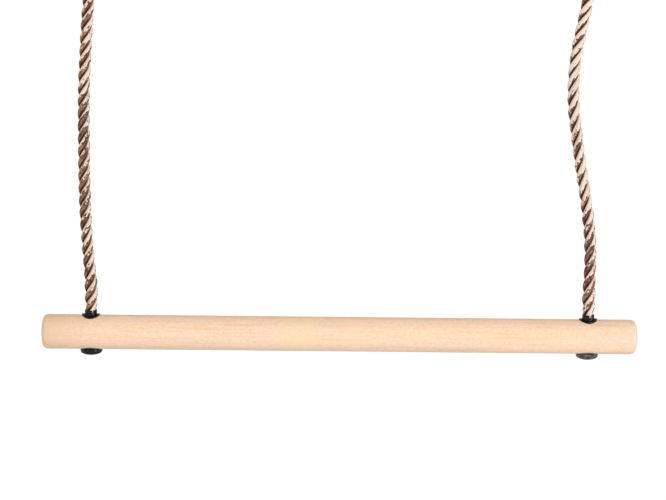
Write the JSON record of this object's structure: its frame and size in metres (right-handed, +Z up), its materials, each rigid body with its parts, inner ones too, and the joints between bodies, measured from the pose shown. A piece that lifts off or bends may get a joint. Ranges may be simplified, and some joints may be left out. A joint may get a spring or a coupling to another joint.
{
  "type": "trapeze bar",
  "caption": "Round wooden trapeze bar hung level on two laid ropes, each with an eye, a ring and a snap hook at its top.",
  "frame": {"origin": "midway between the seats of the two snap hooks, on the line that the bar hangs from", "axes": "+Z up, +X along the bar towards its right end, +Y to the back"},
  "size_m": [0.6, 0.046, 0.58],
  "materials": {
    "wood": "fine sanded, clear matt",
    "rope": "three-strand laid, cream and brown yarns",
    "collar_plastic": "black, glossy",
    "cap_plastic": "black, satin gloss",
    "galvanised_steel": "zinc plated",
    "aluminium": "pressed, dull",
    "bright_steel": "bright"
  },
  "bodies": {
    "hooks": {"left_hook": "galvanised_steel", "left_gate_pin": "bright_steel", "right_hook": "galvanised_steel", "right_gate_pin": "bright_steel"},
    "left_gate": {"left_gate": "galvanised_steel", "left_gate_spring": "bright_steel"},
    "right_gate": {"right_gate": "galvanised_steel", "right_gate_spring": "bright_steel"},
    "rings": {"left_ring": "galvanised_steel", "right_ring": "galvanised_steel"},
    "left_rope": {"left_rope": "rope", "left_thimble": "galvanised_steel", "left_ferrule": "aluminium"},
    "bar": {"bar": "wood", "left_collar": "collar_plastic", "left_rope_tail": "rope", "left_washer": "galvanised_steel", "left_stop": "aluminium", "left_cap": "cap_plastic", "right_collar": "collar_plastic", "right_rope_tail": "rope", "right_washer": "galvanised_steel", "right_stop": "aluminium", "right_cap": "cap_plastic"},
    "right_rope": {"right_rope": "rope", "right_thimble": "galvanised_steel", "right_ferrule": "aluminium"}
  },
  "joints": [
    {"name": "swing", "type": "hinge", "parent": "hooks", "child": "rings", "pos_m": [0, 0, -0.0595], "axis": [1, 0, 0], "range_deg": [-60, 60]},
    {"name": "sway", "type": "hinge", "parent": "rings", "child": "left_rope", "pos_m": [-0.2515, 0, -0.0927], "axis": [0, 1, 0], "range_deg": [-12, 12]},
    {"name": "bar_level", "type": "hinge", "parent": "left_rope", "child": "bar", "pos_m": [-0.2515, 0, -0.5255], "axis": [0, 1, 0], "range_deg": [-12, 12]},
    {"name": "right_rope_turn", "type": "hinge", "parent": "bar", "child": "right_rope", "pos_m": [0.2515, 0, -0.5255], "axis": [0, 1, 0], "range_deg": [-12, 12]},
    {"name": "left_gate_open", "type": "hinge", "parent": "hooks", "child": "left_gate", "pos_m": [-0.24205, 0, -0.0445], "axis": [0, -1, 0], "range_deg": [0, 25], "stiffness_Nm_per_rad": 0.02, "springref_deg": -20.05},
    {"name": "right_gate_open", "type": "hinge", "parent": "hooks", "child": "right_gate", "pos_m": [0.26095, 0, -0.0445], "axis": [0, -1, 0], "range_deg": [0, 25], "stiffness_Nm_per_rad": 0.02, "springref_deg": -20.05}
  ],
  "couplings": [
    {"joint": "bar_level", "follows": "sway", "ratio": -1},
    {"joint": "right_rope_turn", "follows": "sway", "ratio": 1}
  ]
}
